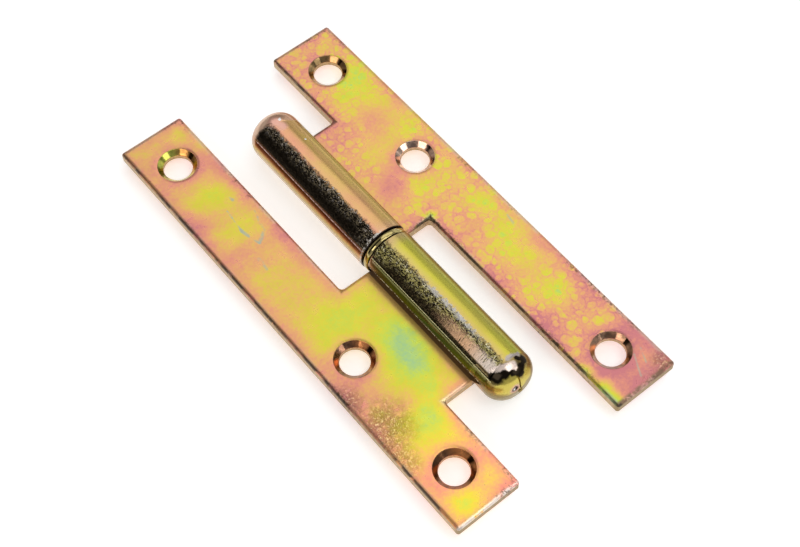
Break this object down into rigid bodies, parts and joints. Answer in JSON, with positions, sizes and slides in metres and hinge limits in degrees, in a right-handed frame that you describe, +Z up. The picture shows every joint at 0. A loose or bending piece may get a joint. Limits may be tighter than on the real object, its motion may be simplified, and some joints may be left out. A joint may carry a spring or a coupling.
{
  "type": "lift off hinge",
  "caption": "Open lift-off hinge of rolled, plated sheet steel: straight leaves with countersunk holes and a domed knuckle that lifts off a fixed pin.",
  "frame": {"origin": "on the pin's centre line in plan, midway between the two knuckles, at the lowest point of the knuckles", "axes": "+Z up out of the countersunk faces, +Y along the pin towards the knuckle that lifts off, +X towards that knuckle's leaf"},
  "size_m": [0.055, 0.1104, 0.0112],
  "materials": {
    "plated_sheet": "satin",
    "pin_steel": "satin",
    "plated_ring": "satin"
  },
  "bodies": {
    "lower_leaf": {"lower_leaf": "plated_sheet", "pin": "pin_steel"},
    "washer": {"washer": "plated_ring"},
    "upper_leaf": {"upper_leaf": "plated_sheet"}
  },
  "joints": [
    {"name": "swing", "type": "hinge", "parent": "lower_leaf", "child": "washer", "pos_m": [0, 0, 0.0056], "axis": [0, -1, 0], "range_deg": [-147.5, 186]},
    {"name": "lift_off", "type": "slide", "parent": "washer", "child": "upper_leaf", "axis": [0, 1, 0], "range_m": [0, 0.035]}
  ]
}
